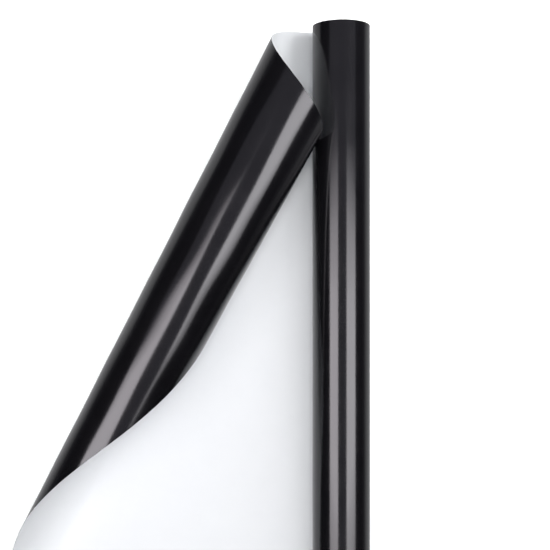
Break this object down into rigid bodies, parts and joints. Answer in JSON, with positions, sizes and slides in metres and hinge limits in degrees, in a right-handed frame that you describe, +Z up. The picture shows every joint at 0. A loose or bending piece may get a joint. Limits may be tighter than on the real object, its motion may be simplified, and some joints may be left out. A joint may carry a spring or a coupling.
{
  "type": "roll of sign vinyl",
  "caption": "Roll of glossy self-adhesive sign vinyl on a paperboard core, with one length run off flat and its free corner curled over",
  "frame": {"origin": "middle of the core's bore, on the roll's axis", "axes": "+Y along the roll's axis, +Z up, -X the way the vinyl runs off the underside of the roll; the table is at z = -15 mm"},
  "size_m": [0.191, 0.3051, 0.0505],
  "materials": {
    "vinyl_film": "gloss black calendered vinyl",
    "adhesive": "clear grey pressure-sensitive adhesive",
    "release_liner": "smooth siliconised white paper",
    "core_board": "uncoated brown board, wound on a slant",
    "core_tape": "cream paper masking tape"
  },
  "bodies": {
    "laid_sheet": {"laid_film": "vinyl_film", "laid_adhesive": "adhesive", "laid_liner": "release_liner", "curl_film": "vinyl_film", "curl_adhesive": "adhesive", "curl_liner": "release_liner"},
    "takeoff": {"outer_turn_film": "vinyl_film", "outer_turn_adhesive": "adhesive", "outer_turn_liner": "release_liner"},
    "roll": {"core_inner_ply": "core_board", "core_middle_ply": "core_board", "core_outer_ply": "core_board", "core_tape": "core_tape", "wound_film": "vinyl_film", "wound_adhesive": "adhesive", "wound_liner": "release_liner"}
  },
  "joints": [
    {"name": "roll_travel", "type": "slide", "parent": "laid_sheet", "child": "takeoff", "axis": [1, 0, 0], "range_m": [0, 0.094]},
    {"name": "roll_turn", "type": "hinge", "parent": "takeoff", "child": "roll", "pos_m": [0, 0, 0], "axis": [0, 1, 0], "range_deg": [0, 360]}
  ],
  "couplings": [
    {"joint": "roll_turn", "follows": "roll_travel", "rad_per_m": 66.667}
  ]
}
